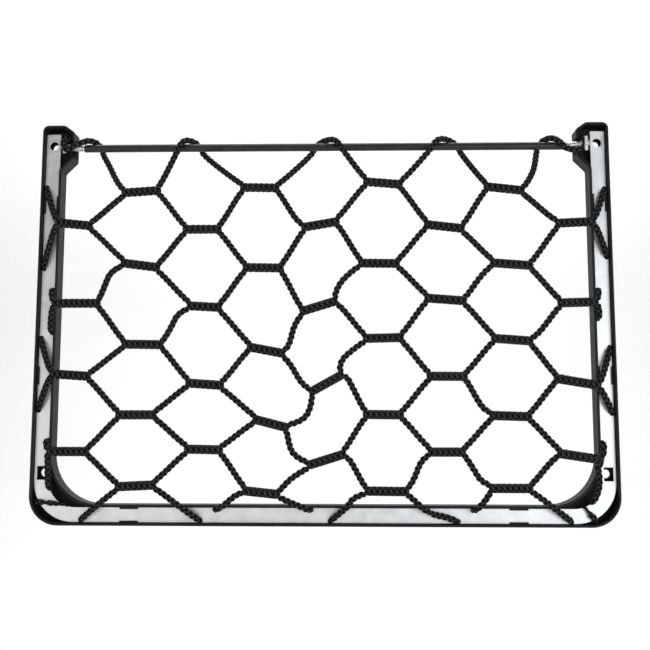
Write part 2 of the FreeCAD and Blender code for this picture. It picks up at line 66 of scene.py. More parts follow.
# In a link each cord lies this far from the middle line. It comes in at LINK_LEAD from the link's end, and
# lies fully beside the other cord SHOULDER further on.
LINK_OFFSET = 1.65
LINK_LEAD = 1.3
SHOULDER = 4.0
# The bar's axis, and the middle of the neck that holds a spring's loop.
BAR_Y = -9.4
BAR_Z = 127.5
HOOK_Y = -8.15
HOOK_Z = 130.0
# A hump over the bar, from its front leg to its back leg: quarters of the way across, then depth and height
# from the bar's axis.
HUMP = [(0, -6.2, -4.5), (0.5, -6.4, 1.5), (1.3, -3.4, 5.9), (2.7, 3.4, 5.9), (3.6, 6.4, 2.0), (4, 6.0, -4.5)]

# Links by column, top to bottom: the points at its left and right end where its two cords part.
LINK_ENDS = {
    -3: [((-159.5, 89.5), (-129, 91.5)), ((-158, 33), (-128, 29)), ((-156, -31), (-123.5, -31.5)),
         ((-159, -85.5), (-128, -85.5)), ((-158, -140), (-127, -138.5))],
    -2: [((-110, 59.5), (-80, 59.5)), ((-105.5, -1), (-79, -2.5)), ((-105.5, -61), (-76.5, -63)),
         ((-105.5, -111.5), (-76.5, -112))],
    -1: [((-65.5, 93.5), (-35, 93)), ((-62.5, 29), (-31, 28.5)), ((-58.5, -33), (-29.5, -38.5)),
         ((-53.5, -88.5), (-26, -95.5)), ((-61, -142.5), (-32.5, -145.5))],
    0: [((-17, 60.5), (12.5, 65.5)), ((-17.8, -6), (11, 2.8)), ((-10.3, -68.5), (15.8, -54)),
        ((-12, -123.8), (17.5, -114.6))],
    1: [((31.8, 97.8), (62.2, 95.2)), ((27.4, 32.2), (59.3, 31.8)), ((31.1, -26.8), (61.9, -26)),
        ((30.8, -85), (61.5, -85.3)), ((32, -142.6), (65, -142.9))],
    2: [((79, 62.8), (110, 59.2)), ((78.7, 4.7), (110.8, 2.3)), ((79.7, -55.8), (110.4, -56)),
        ((79.8, -113.3), (108.2, -113.3))],
    3: [((126.2, 93.4), (157.5, 89.8)), ((129.8, 32.2), (162.4, 29.8)), ((129.4, -26.6), (160.8, -28.9)),
        ((127, -85.6), (158.6, -86.6)), ((125.8, -140.3), (158, -140.3))],
}
# Links that cross an arm, top to bottom: x of the end inside the frame, its z, and z over the rim.
ARM_LINKS = {-1: [(182, 62.5, 65.5), (174, 1, 1), (179.5, -56, -54), (179, -113.5, -113.5)],
             1: [(181, 63.2, 64.5), (181, 0.6, 1.4), (176.3, -57.3, -63), (177.5, -114, -119)]}
# Where the cord passes round the strip's edges in an arm, as z.
ARM_WRAPS = {-1: {"head": 112.0, "first": 95.5, "second": 29.5, "third": 12.5, "fourth": -21.5,
                  "fifth": -25.5, "sixth": -82.0, "seventh": -105.0},
             1: {"head": 112.0, "first": 92.5, "second": 37.5, "third": 11.5, "fourth": -11.0,
                 "fifth": -33.0, "sixth": -84.0, "seventh": -106.0}}
# Bottom loops: x where the cord comes in, x where it leaves, and which edge is first.
BOTTOM_WRAPS = {-2: (-93.5, -82.0, "outer"), 0: (-9.0, 5.5, "inner"), 2: (102.7, 114.0, "outer")}
BOTTOM_END_X = {-1: -185.5, 1: 188.0}
# Corner loop: the inner edge where the cord comes up, the outer edge where it goes down again,
# and the inner edge where the neighbouring cord goes down.
CORNER_WRAPS = {-1: ((-196.8, -153.8), (-220.8, -151.6), (-209.2, -141.2)),
                1: ((197.0, -153.7), (206.5, -165.3), (202.6, -150.4))}
# Humps over the bar: x of the leg in front, x of the leg behind, by column and then at the bar's ends.
BAR_WRAPS = {-2: (-116.0, -97.5), 0: (15.5, -9.5), 2: (84.5, 110.0)}
BAR_END_WRAP = {-1: (-193.0, -178.3), 1: (186.0, 170.0)}
# Cord 1 in the heads: from the bar's end in front of the spring, once round it beside the spring's hook,
# and down behind the strip's inner edge.
HEAD_ROUTE = {
    -1: [(-193.0, -15.6, 130.3), (-197.8, -15.3, 129.3), (-203.2, -15.0, 124.6), (-207.3, -15.4, 126.8),
         (-208.0, -15.0, 132.6), (-204.8, -9.6, 137.0), (-204.4, -4.1, 131.8), (-204.6, -4.1, 123.5),
         (-207.6, -6.0, 116.8)],
    1: [(186.5, -15.5, 129.0), (190.5, -15.0, 123.9), (197.0, -14.2, 122.7), (202.6, -14.6, 122.9),
        (204.8, -15.4, 126.8), (204.8, -15.0, 132.6), (204.6, -9.6, 136.6), (204.4, -4.1, 131.8),
        (204.6, -4.1, 123.5), (207.6, -6.0, 116.8)],
}
# Cord 9 along the inner rim of each bottom corner.
CORNER_RUN = {-1: [(-210.2, -118.5), (-210.4, -125.0), (-210.0, -132.5)],
              1: [(206.8, -123.5), (208.2, -131.0), (207.8, -139.0), (205.8, -145.5)]}
# Where a cord bends between two links: (x, z), or (x, depth, z) where it is not in the net's plane, by
# cord and by the column to its left. Column -4 is the left arm.
SLACK = {
    (1, -4): [(-176.3, -5.0, 120.5), (-170.5, -8.5, 110.5), (-165, -13.0, 100)],
    (1, 3): [(161.5, -13.0, 98.5), (167, -9.0, 109)],
    (2, -1): [(-25.5, 73.5), (-21.5, 67.5)],
    (2, 3): [(174.5, 70.3)],
    (4, -4): [(-170.5, 15), (-167, 25)],
    (4, 0): [(9.5, 8.5), (12.5, 15.5), (18.5, 22.5)],
    (4, 2): [(121.5, 21.3)],
    (5, -3): [(-118, -18.5), (-113.5, -8)],
    (5, -1): [(-26, -32), (-22.5, -16.5)],
    (5, 0): [(16.5, -5)],
    (5, 3): [(167, -21.5)],
    (6, -1): [(-24.5, -47.5), (-20.5, -54.5), (-16.5, -61)],
    (6, 0): [(12.9, -49.5), (14, -44.5), (18, -39.3)],
    (7, -1): [(-13.5, -88.5), (-9, -78.5)],
    (7, 0): [(18.5, -56.5), (22.3, -63.5)],
    (7, 2): [(117, -72.5), (122, -80.5)],
    (8, -1): [(-25.5, -109), (-22, -116)],
    (9, -1): [(-26, -135), (-19, -130)],
    (9, 0): [(21, -119.5), (30, -136.5)],
    (9, 1): [(69, -134), (74, -120.5)],
    (9, 2): [(114, -126), (119, -134.7)],
    (9, 3): [(173, -119.3)],
    (10, -2): [(-76, -154.5), (-72, -151), (-65.5, -145.5)],
    (10, -1): [(-26.5, -150.5), (-17, -154.3)],
    (10, 0): [(18.5, -154.5), (22, -149), (27, -146.2)],
    (10, 1): [(75.5, -155.5), (84, -160.5), (93, -162)],
    (10, 2): [(120.5, -152), (125, -145.5)],
}

# ---- Braid (millimetres): strands that wind both ways round a core, over and under each other ----
STRANDS_EACH_WAY = 3
BRAID_START = math.radians(30)
CORD_STEP = 0.5
CORD_PITCH = 12.6
STRAND_WIDTH = 1.9
STRAND_THICK = 1.3
STRAND_WAVE = 0.36
STRAND_SIDES = 6
CORE_SHARE = 0.62
# A strand's painted light comes in between these values of its wave over and under the others:
# painted shade where it dives under another, painted highlight where it lies on top.
CREST_FROM = -0.6
CREST_TO = 0.7
# A line lies flat, so that its braid can be turned to face the room, where this much of the room's direction
# is square to it.
LIES_FLAT = 0.6
# The radius that the strands' middle lines keep: in a free cord, in a link, and where it is squeezed.
CORD_MID_R = 1.7
CORD_LINK_R = 1.05
CORD_TIGHT_R = 0.8
# A cord has its link radius up to LINK_NEAR from the link's middle line, and is free again at LINK_FAR.
LINK_NEAR = 1.9
LINK_FAR = 3.4

# ---- Where a cord is squeezed (millimetres): each pair goes from free to fully squeezed ----
# Depth on the inner side of the strip, between it and the frame's wall, and on its outer side.
SQUEEZE_INNER_Y = (-15.5, -12.5)
SQUEEZE_OUTER_Y = (-12.8, -9.8)
# The inner rim and the strip's middle line: as x in the arms, and as the drop below 0 in the bottom run.
SQUEEZE_ARM_X = (209.5, 214.5)
SQUEEZE_BOTTOM_DROP = (152.0, 159.2)
SQUEEZE_RIM_RUN = 2
SQUEEZE_MIDDLE_RUN = 1
# Beside the spring's hook in the right head, behind the spring in both heads, and in the bottom corners.
SQUEEZE_HOOK_X = (202, 204.5)
SQUEEZE_HOOK_Z = (121.5, 125.5)
SQUEEZE_SPRING_X = (200, 203)
SQUEEZE_SPRING_Y = (-9.0, -6.0)
SQUEEZE_CORNER_X = (200, 202)
SQUEEZE_CORNER_DROP = (136, 139)

# ---- Where the top cord is cut (millimetres) ----
# The top cord's ends are cut from its middle where it passes BAR_SPLIT_X.
BAR_SPLIT_X = 190.0

# ---- Weave that binds the two cords of a link (millimetres) ----
WEAVE_PITCH = 12.6
WEAVE_HALF_WIDTH = 2.95
WEAVE_HALF_DEPTH = 1.65
WEAVE_STEP = 0.45
WEAVE_TAPER = 2.5
WEAVE_OVERHANG = 1.5
WEAVE_END_SHARE = 0.55

# ---- Springs (millimetres) ----
SPRING_TURNS = 25
SPRING_PITCH = 0.5
SPRING_R = 2.55
SPRING_WIRE = 0.5
SPRING_WIRE_HIGH = 0.3
SPRING_START_X = 193.7
SPRING_LOOP_X = 210.75
SPRING_LOOP_R = 2.4
SPRING_STEP = 0.35
SPRING_SIDES = 8
COIL_STEPS = 20

# ---- Stage (metres), lights and camera ----
FLOOR_Z = -0.45
FLOOR_HALF_WIDTH = 9
FLOOR_FRONT_Y = -9.0
SWEEP_START_Y = 1.4
SWEEP_R = 0.8
SWEEP_STEPS = 12
WALL_TOP_Z = 6.0
# Name, place, target, size, watts and colour.
LIGHTS = [("key", (1.1, -1.6, 0.0), (0, 0, -0.05), (1.5, 0.8), 17, (0.92, 0.97, 1)),
          ("fill", (-0.9, -1.6, -0.1), (0, 0, -0.05), (1.2, 0.6), 5, (1, 0.98, 0.95)),
          ("top", (-0.2, -1.0, 1.5), (0, 0, 0), (0.7, 0.5), 6, (1, 1, 1)),
          ("wall", (0, 0.6, 2.6), (0, 2.0, 0.2), (3.0, 1.0), 78, (1, 1, 1))]
WORLD_STRENGTH = 0.12
CAMERA_PLACE = (0.01857, -0.70442, -0.09693)
CAMERA_YAW, CAMERA_PITCH, CAMERA_ROLL = math.radians(-1.419), math.radians(6.684), math.radians(0.093)
CAMERA_LENS = 49.68
CAMERA_SENSOR = 36


# ================================ Materials ================================
def new_material(name):
    """A new node material, with its nodes and links."""
    material = bpy.data.materials.new(name)
    material.use_nodes = True
    return material, material.node_tree.nodes, material.node_tree.links


def shader_of(nodes):
    """The principled shader that a new node material starts with."""
    return next(n for n in nodes if n.type == "BSDF_PRINCIPLED")


def add_noise(nodes, links, scale, detail, stretch=(1, 1, 1), rough=0.5):
    """A noise texture in the object's own coordinates (metres)."""
    coords = nodes.new("ShaderNodeTexCoord")
    mapping = nodes.new("ShaderNodeMapping")
    mapping.inputs["Scale"].default_value = stretch
    noise = nodes.new("ShaderNodeTexNoise")
    noise.inputs["Scale"].default_value = scale
    noise.inputs["Detail"].default_value = detail
    noise.inputs["Roughness"].default_value = rough
    links.new(coords.outputs["Object"], mapping.inputs["Vector"])
    links.new(mapping.outputs["Vector"], noise.inputs["Vector"])
    return noise


def add_ramp(nodes, links, source, stops):
    """A colour ramp driven by a texture: stops are (position, colour)."""
    ramp = nodes.new("ShaderNodeValToRGB")
    elements = ramp.color_ramp.elements
    while len(elements) < len(stops):
        elements.new(0.5)
    for element, (position, colour) in zip(elements, stops):
        element.position = position
        element.color = (*colour, 1)
    links.new(source, ramp.inputs["Fac"])
    return ramp


def add_bump(nodes, links, height, strength, distance, before=None):
    """A bump from a texture, on top of an earlier bump if there is one."""
    bump = nodes.new("ShaderNodeBump")
    bump.inputs["Strength"].default_value = strength
    bump.inputs["Distance"].default_value = distance
    links.new(height, bump.inputs["Height"])
    if before is not None:
        links.new(before.outputs["Normal"], bump.inputs["Normal"])
    return bump


def range_of(nodes, links, source, low, high):
    """Maps a texture's 0 to 1 onto low to high."""
    mapped = nodes.new("ShaderNodeMapRange")
    mapped.inputs["To Min"].default_value = low
    mapped.inputs["To Max"].default_value = high
    links.new(source, mapped.inputs["Value"])
    return mapped.outputs["Result"]


def grey(value, warm=0.0):
    """A grey that leans to yellow where warm is above 0 and to blue where it is below."""
    return (value * (1 + warm), value, value * (1 - warm))


def make_plastic():
    """Black moulded plastic: a fine spark-eroded grain, faint flow marks and a satin surface."""
    material, nodes, links = new_material("frame_plastic")
    shader = shader_of(nodes)
    flow = add_noise(nodes, links, 35, 3)
    colour = add_ramp(nodes, links, flow.outputs["Fac"],
                      [(0.3, grey(0.008, -0.03)), (0.7, grey(0.013, -0.03))])
    links.new(colour.outputs["Color"], shader.inputs["Base Color"])
    grain = add_noise(nodes, links, 1500, 2)
    dapple = add_noise(nodes, links, 180, 4)
    links.new(range_of(nodes, links, dapple.outputs["Fac"], 0.46, 0.62), shader.inputs["Roughness"])
    fine = add_bump(nodes, links, grain.outputs["Fac"], 0.25, 0.00012)
    broad = add_bump(nodes, links, dapple.outputs["Fac"], 0.12, 0.0004, fine)
    links.new(broad.outputs["Normal"], shader.inputs["Normal"])
    shader.inputs["Specular IOR Level"].default_value = 0.17
    return material


def make_galvanised():
    """Zinc-plated steel: a fine rolled grain and a soft cloudy spangle."""
    material, nodes, links = new_material("strip_steel")
    shader = shader_of(nodes)
    cloud = add_noise(nodes, links, 90, 5)
    colour = add_ramp(nodes, links, cloud.outputs["Fac"],
                      [(0.3, (0.60, 0.61, 0.62)), (0.55, (0.72, 0.72, 0.72)), (0.75, (0.80, 0.80, 0.79))])
    links.new(colour.outputs["Color"], shader.inputs["Base Color"])
    spangle = nodes.new("ShaderNodeTexVoronoi")
    spangle.inputs["Scale"].default_value = 420
    coords = nodes.new("ShaderNodeTexCoord")
    links.new(coords.outputs["Object"], spangle.inputs["Vector"])
    rolled = add_noise(nodes, links, 900, 2)
    links.new(range_of(nodes, links, cloud.outputs["Fac"], 0.36, 0.56), shader.inputs["Roughness"])
    fine = add_bump(nodes, links, rolled.outputs["Fac"], 0.2, 0.0001)
    broad = add_bump(nodes, links, spangle.outputs["Distance"], 0.15, 0.0002, fine)
    links.new(broad.outputs["Normal"], shader.inputs["Normal"])
    shader.inputs["Metallic"].default_value = 0.75
    return material


def make_bar_coating():
    """Satin black coating with slight orange peel and faint rub marks round the bar."""
    material, nodes, links = new_material("bar_coating")
    shader = shader_of(nodes)
    rub = add_noise(nodes, links, 60, 4, stretch=(4, 0.6, 0.6))
    colour = add_ramp(nodes, links, rub.outputs["Fac"], [(0.35, grey(0.011)), (0.7, grey(0.019))])
    links.new(colour.outputs["Color"], shader.inputs["Base Color"])
    peel = add_noise(nodes, links, 700, 2)
    links.new(range_of(nodes, links, rub.outputs["Fac"], 0.28, 0.4), shader.inputs["Roughness"])
    shader.inputs["Specular IOR Level"].default_value = 0.35
    bump = add_bump(nodes, links, peel.outputs["Fac"], 0.2, 0.00015)
    links.new(bump.outputs["Normal"], shader.inputs["Normal"])
    return material


def make_bright_steel():
    """Drawn and turned steel: bright, with fine die lines."""
    material, nodes, links = new_material("bright_steel")
    shader = shader_of(nodes)
    lines = add_noise(nodes, links, 1400, 3, stretch=(1, 0.4, 0.4))
    colour = add_ramp(nodes, links, lines.outputs["Fac"],
                      [(0.3, (0.80, 0.79, 0.76)), (0.7, (0.90, 0.89, 0.86))])
    links.new(colour.outputs["Color"], shader.inputs["Base Color"])
    links.new(range_of(nodes, links, lines.outputs["Fac"], 0.26, 0.40), shader.inputs["Roughness"])
    bump = add_bump(nodes, links, lines.outputs["Fac"], 0.1, 0.00003)
    links.new(bump.outputs["Normal"], shader.inputs["Normal"])
    shader.inputs["Metallic"].default_value = 1.0
    return material


def make_yarn():
    """Black polyester yarn with fibre streaks. Its colour holds painted light: painted shade between the
    strands and on the core, and a painted highlight on the strands' crests.
    """
    material, nodes, links = new_material("cord")
    shader = shader_of(nodes)
    # Painted light: strands' outward faces on top get a painted highlight, gaps between strands and the core
    # painted shade.
    painted_crest_light = nodes.new("ShaderNodeAttribute")
    painted_crest_light.attribute_name = "painted_crest_light"
    colour = add_ramp(nodes, links, painted_crest_light.outputs["Fac"],
                      [(0.0, (0.002, 0.002, 0.002)), (0.5, (0.006, 0.006, 0.007)),
                       (0.9, (0.046, 0.046, 0.048))])
    tone = add_noise(nodes, links, 420, 3)
    worn = nodes.new("ShaderNodeVectorMath")
    worn.operation = "SCALE"
    links.new(colour.outputs["Color"], worn.inputs[0])
    links.new(range_of(nodes, links, tone.outputs["Fac"], 0.6, 1.4), worn.inputs["Scale"])
    links.new(worn.outputs["Vector"], shader.inputs["Base Color"])
    fibre = add_noise(nodes, links, 3200, 3, rough=0.6)
    links.new(range_of(nodes, links, fibre.outputs["Fac"], 0.4, 0.65), shader.inputs["Roughness"])
    bump = add_bump(nodes, links, fibre.outputs["Fac"], 0.5, 0.00012)
    links.new(bump.outputs["Normal"], shader.inputs["Normal"])
    shader.inputs["Specular IOR Level"].default_value = 0.15
    return material


def make_backdrop():
    """Pale matt paper with barely visible clouds."""
    material, nodes, links = new_material("backdrop")
    shader = shader_of(nodes)
    soft = add_noise(nodes, links, 3, 2)
    colour = add_ramp(nodes, links, soft.outputs["Fac"], [(0.3, grey(0.93)), (0.7, grey(0.95))])
    links.new(colour.outputs["Color"], shader.inputs["Base Color"])
    shader.inputs["Roughness"].default_value = 0.8
    return material


MATERIALS = {"frame_plastic": make_plastic(), "strip_steel": make_galvanised(),
             "bar_coating": make_bar_coating(), "bright_steel": make_bright_steel(), "cord": make_yarn()}


# ================================ Geometry helpers ================================
def unit(vectors):
    """The same directions at length 1."""
    return vectors / np.maximum(np.linalg.norm(vectors, axis=-1, keepdims=True), 1e-12)


def smooth_between(low, high, value):
    """0 below low, 1 above high, and a smooth step between."""
    t = np.clip((value - low) / (high - low), 0, 1)
    return t * t * (3 - 2 * t)


def mesh_object(name, verts, faces, painted_crest_light, slot):
    """A smooth mesh piece from points in millimetres. Its values of painted light drive the yarn's colour:
    a painted highlight on the strands' crests and painted shade elsewhere.
    """
    mesh = bpy.data.meshes.new(name)
    mesh.from_pydata((np.asarray(verts) * MM).tolist(), [], faces)
    mesh.polygons.foreach_set("use_smooth", [True] * len(mesh.polygons))
    mesh.attributes.new("painted_crest_light", "FLOAT", "POINT").data.foreach_set("value", painted_crest_light)
    mesh.materials.append(MATERIALS[slot])
    mesh.update()
    obj = bpy.data.objects.new(name, mesh)
    bpy.context.scene.collection.objects.link(obj)
    return obj


def tube_faces(count, sides):
    """The faces of a closed tube of so many rings: its quads, ring by ring, and its two ends."""
    first = np.arange(count - 1)[:, None] * sides
    a = first + np.arange(sides)[None, :]
    b = first + (np.arange(sides)[None, :] + 1) % sides
    quads = np.stack([a, b, b + sides, a + sides], axis=-1).reshape(-1, 4).tolist()
    return quads + [list(range(sides))[::-1], [(count - 1) * sides + i for i in range(sides)]]


def tube_along(points, wide, high, width, thick, sides, lift=None):
    """Points, faces and painted-light values of a closed tube of oval section. Wide and high are unit
    vectors, and lift is 1 where a strand lies on top and 0 where it dives under another. The painted-light
    values are 1 on the tube's outward half where it lies on top, a painted highlight, and 0 elsewhere,
    painted shade."""
    angles = np.arange(sides) * 2 * math.pi / sides
    width = np.broadcast_to(np.asarray(width, float).reshape(-1, 1, 1), (len(points), 1, 1))
    thick = np.broadcast_to(np.asarray(thick, float).reshape(-1, 1, 1), (len(points), 1, 1))
    rings = (points[:, None, :] + wide[:, None, :] * np.cos(angles)[None, :, None] * width / 2
             + high[:, None, :] * np.sin(angles)[None, :, None] * thick / 2)
    lift = np.zeros(len(points)) if lift is None else lift
    # Painted light: the outward half of a strand on top is a painted highlight, everything else painted
    # shade.
    painted_crest_light = lift[:, None] * np.clip(np.sin(angles), 0, 1)[None, :]
    return rings.reshape(-1, 3), tube_faces(len(points), sides), painted_crest_light.reshape(-1)


class Pieces:
    """Collects tubes into one mesh."""

    def __init__(self):
        self.verts = []
        self.faces = []
        self.painted_crest_light = []
        self.count = 0

    def add(self, verts, faces, painted_crest_light):
        self.faces += [[i + self.count for i in f] for f in faces]
        self.verts.append(verts)
        self.painted_crest_light.append(painted_crest_light)
        self.count += len(verts)

    def make(self, name, slot):
        return mesh_object(name, np.concatenate(self.verts), self.faces, np.concatenate(self.painted_crest_light), slot)


def spline_line(route):
    """The smooth line of a route: points read from a NURBS spline whose control points are the route."""
    curve = bpy.data.curves.new("route", "CURVE")
    curve.dimensions = "3D"
    curve.resolution_u = 10
    spline = curve.splines.new("NURBS")
    spline.points.add(len(route) - 1)
    for point, place in zip(spline.points, route):
        point.co = (*place, 1)
    spline.order_u = 3
    spline.use_endpoint_u = True
    holder = bpy.data.objects.new("route", curve)
    bpy.context.scene.collection.objects.link(holder)
    bpy.context.view_layer.update()
    mesh = bpy.data.meshes.new_from_object(holder)
    line = np.array([v.co for v in mesh.vertices], float)
    bpy.data.objects.remove(holder)
    bpy.data.meshes.remove(mesh)
    bpy.data.curves.remove(curve)
    return line


def even_steps(line, step):
    """The same line with its points evenly spaced."""
    lengths = np.linalg.norm(np.diff(line, axis=0), axis=1)
    along = np.concatenate([[0], np.cumsum(lengths)])
    count = int(round(along[-1] / step)) + 1
    wanted = np.linspace(0, along[-1], count)
    return np.stack([np.interp(wanted, along, line[:, i]) for i in range(3)], axis=1)


def carried_frame(line):
    """Tangent and two cross directions at each point, carried along the line without twist."""
    tangent = unit(np.gradient(line, axis=0))
    normal = np.zeros_like(line)
    normal[0] = unit(np.array([0, -1.0, 0]) - tangent[0] * -tangent[0][1])
    for i in range(1, len(line)):
        n = normal[i - 1] - tangent[i] * np.dot(normal[i - 1], tangent[i])
        normal[i] = n / np.linalg.norm(n)
    return tangent, normal, np.cross(tangent, normal)


def room_frame(line):
    """The carried frame, turned slowly so that its normal faces the room wherever the line lies flat."""
    tangent, normal, side = carried_frame(line)
    room = np.array([0, -1.0, 0]) + tangent * tangent[:, 1:2]
    flat = np.linalg.norm(room, axis=1) > LIES_FLAT
    twist = np.unwrap(np.arctan2((room * side).sum(axis=1), (room * normal).sum(axis=1))[flat])
    steps = np.arange(len(line))
    twist = np.interp(steps, steps[flat], twist)[:, None] + BRAID_START
    turned = normal * np.cos(twist) + side * np.sin(twist)
    return turned, np.cross(tangent, turned)


def strand_tube(line, normal, side, angle, a, b, phase, share):
    """One strand that winds round a line: its angle, the half-sizes a and b of the oval that it follows, the
    phase of its wave over and under the others, and its share of the full strand's size."""
    wave = STRAND_WAVE * share * phase
    cos, sin = np.cos(angle)[:, None], np.sin(angle)[:, None]
    outward = unit(normal * cos / b[:, None] + side * sin / a[:, None])
    path = line + normal * cos * b[:, None] + side * sin * a[:, None] + outward * wave[:, None]
    ahead = unit(np.gradient(path, axis=0))
    across = unit(np.cross(ahead, outward))
    high = np.cross(across, ahead)
    return tube_along(path, across, high, STRAND_WIDTH * share, STRAND_THICK * share, STRAND_SIDES,
                      smooth_between(CREST_FROM, CREST_TO, phase))


# ================================ The net ================================
def link_half(left, right, y, above):
    """A cord's half of a link: its two ends, and a point inside each where the cords already lie together."""
    start, end = np.array([left[0], y, left[1]]), np.array([right[0], y, right[1]])
    run = unit(end - start)
    shift = np.array([-run[2], 0, run[0]]) * (LINK_OFFSET if above else -LINK_OFFSET)
    near, far = LINK_LEAD, LINK_LEAD + SHOULDER
    points = [start + run * near, start + run * far, end - run * far, end - run * near]
    return [tuple(point + shift) for point in points]


def bar_hump(front_x, back_x):
    """Over the bar, from the leg in front to the leg behind."""
    quarter = (back_x - front_x) / 4
    return [(front_x + quarter * n, BAR_Y + dy, BAR_Z + dz) for n, dy, dz in HUMP]


def bottom_wrap(first_x, second_x, edge):
    """Once round the bottom run of the strip, from left to right: down at one edge, up at the other."""
    outer_x, inner_x = (first_x, second_x) if edge == "outer" else (second_x, first_x)
    loop = [(outer_x, OVER_STRIP_Y, BOTTOM_DIVE_OUTER_Z), (outer_x, UNDER_STRIP_Y, BOTTOM_DIVE_OUTER_Z),
            (inner_x, UNDER_STRIP_Y, BOTTOM_DIVE_INNER_Z), (inner_x, NET_Y, BOTTOM_DIVE_INNER_Z)]
    return loop if edge == "outer" else loop[::-1]


def arm_end(cord, side):
    """The cord's end round the strip in one arm, from its last link outwards."""
    wraps = ARM_WRAPS[side]
    outer, inner = side * OUTER_DIVE_X, side * INNER_DIVE_X
    middle = side * (OUTER_DIVE_X + INNER_DIVE_X) / 2

    def half_way(a, b):
        return (middle, UNDER_STRIP_Y, (wraps[a] + wraps[b]) / 2)

    ends = {2: ("first", "head"), 3: ("second", "third"), 4: ("third", "second"),
            5: ("fourth", "fifth"), 6: ("fifth", "fourth"), 7: ("sixth", "seventh"),
            8: ("seventh", "sixth")}
    if cord in ends:
        own, other = ends[cord]
        z = wraps[own]
        if cord in (2, 3, 6, 7):
            return [(outer, OVER_STRIP_Y, z), (outer, UNDER_STRIP_Y, z), half_way(own, other)]
        return [(inner, NET_Y, z), (inner, UNDER_STRIP_Y, z), half_way(own, other)]
    if cord == 1:
        return [*HEAD_ROUTE[side], (inner, UNDER_STRIP_Y, wraps["head"]), half_way("head", "first")]
    up, down, last = CORNER_WRAPS[side]
    if cord == 9:
        return [(x, NET_Y, z) for x, z in CORNER_RUN[side]] + [
            (last[0], NET_Y, last[1]), (last[0], UNDER_STRIP_Y, last[1]),
            ((last[0] + down[0]) / 2, UNDER_STRIP_Y, (last[1] + down[1]) / 2)]
    first = (BOTTOM_END_X[side], BOTTOM_DIVE_OUTER_Z)
    return [(first[0], OVER_STRIP_Y, first[1]), (first[0], UNDER_STRIP_Y, first[1]),
            (up[0], UNDER_STRIP_Y, up[1]), (up[0], OVER_STRIP_Y, up[1]),
            (down[0], OVER_STRIP_Y, down[1]), (down[0], UNDER_STRIP_Y, down[1]),
            ((last[0] + down[0]) / 2, UNDER_STRIP_Y, (last[1] + down[1]) / 2)]


def arm_link_half(side, level, above):
    """A cord's half of the link that crosses an arm, from inside the frame outwards."""
    x, z, rim_z = ARM_LINKS[side][level // 2 - 1]
    shift = LINK_OFFSET if above else -LINK_OFFSET
    near = x + LINK_LEAD
    return [(side * near, NET_Y, z + shift), (side * (near + SHOULDER), NET_Y, z + shift),
            (side * (ARM_RIM_X - SHOULDER), NET_Y, rim_z + shift), (side * ARM_RIM_X, NET_Y, rim_z + shift)]


def lifted_over_bottom_rim(route):
    """The route with a point on the bottom run's inner rim wherever it crosses to the strip."""
    lifted = route[:1]
    for before, after in zip(route, route[1:]):
        share = (before[2] - BOTTOM_RIM_Z) / ((before[2] - after[2]) or 1)
        if 0 < share < 1 and OVER_STRIP_Y in (before[1], after[1]) and NET_Y in (before[1], after[1]):
            lifted.append((before[0] + (after[0] - before[0]) * share, NET_Y, BOTTOM_RIM_Z))
        lifted.append(after)
    return lifted


def slack_points(cord, column):
    """The bends of a cord between the link of one column and the next. Column -4 is the left arm."""
    points = []
    for *place, z in SLACK.get((cord, column), []):
        y = place[1] if len(place) == 2 else (OVER_STRIP_Y if z < BOTTOM_RIM_Z else NET_Y)
        points.append((place[0], y, z))
    return points


def column_points(cord, column):
    """The cord in one column: half of a link, a hump over the bar, or a turn round the strip."""
    above = (cord - column) % 2 == 0
    level = cord if above else cord - 1
    if level == 0:
        front, back = BAR_WRAPS[column]
        hump = bar_hump(front, back)
        return hump if front < back else hump[::-1]
    if level == 10:
        return bottom_wrap(*BOTTOM_WRAPS[column])
    left, right = LINK_ENDS[column][(level - 1) // 2]
    return link_half(left, right, TOP_LINK_Y if level == 1 else NET_Y, above)


def arm_points(cord, side):
    """The cord from its last bend inside the frame to its end under the strip."""
    end = arm_end(cord, side)
    if cord == 1:
        front, back = BAR_END_WRAP[side]
        return bar_hump(front, back)[:1:-1] + end
    if cord == 10:
        return end
    above = cord % 2 == 0
    return arm_link_half(side, cord if above else cord - 1, above) + end


def cord_route(cord):
    """Cord n lies in the lower half of the links of level n - 1 and in the upper half of those of level n."""
    route = arm_points(cord, -1)[::-1] + slack_points(cord, -4)
    for column in range(-3, 4):
        route += column_points(cord, column) + slack_points(cord, column)
    return lifted_over_bottom_rim(route + arm_points(cord, 1))


def link_lines():
    """The middle line of every link: its two ends and its depth."""
    lines = []
    for column, links in LINK_ENDS.items():
        for row, (left, right) in enumerate(links):
            lines.append((left, right, TOP_LINK_Y if column % 2 and row == 0 else NET_Y))
    for side in (-1, 1):
        for x, z, rim_z in ARM_LINKS[side]:
            ends = [(side * x, z), (side * ARM_RIM_X, rim_z)]
            lines.append((*ends[::side], NET_Y))
    return lines


def nearness_to_links(line):
    """1 where a point of the cord lies in a link, falling to 0 a little away from it."""
    nearest = np.full(len(line), np.inf)
    for left, right, _ in link_lines():
        start, end = np.array([left[0], left[1]]), np.array([right[0], right[1]])
        run = unit(end - start)
        start, end = start + run * LINK_LEAD, end - run * LINK_LEAD
        flat = line[:, [0, 2]] - start
        along = np.clip(flat @ run, 0, np.linalg.norm(end - start))
        nearest = np.minimum(nearest, np.linalg.norm(flat - along[:, None] * run, axis=1))
    return 1 - smooth_between(LINK_NEAR, LINK_FAR, nearest)


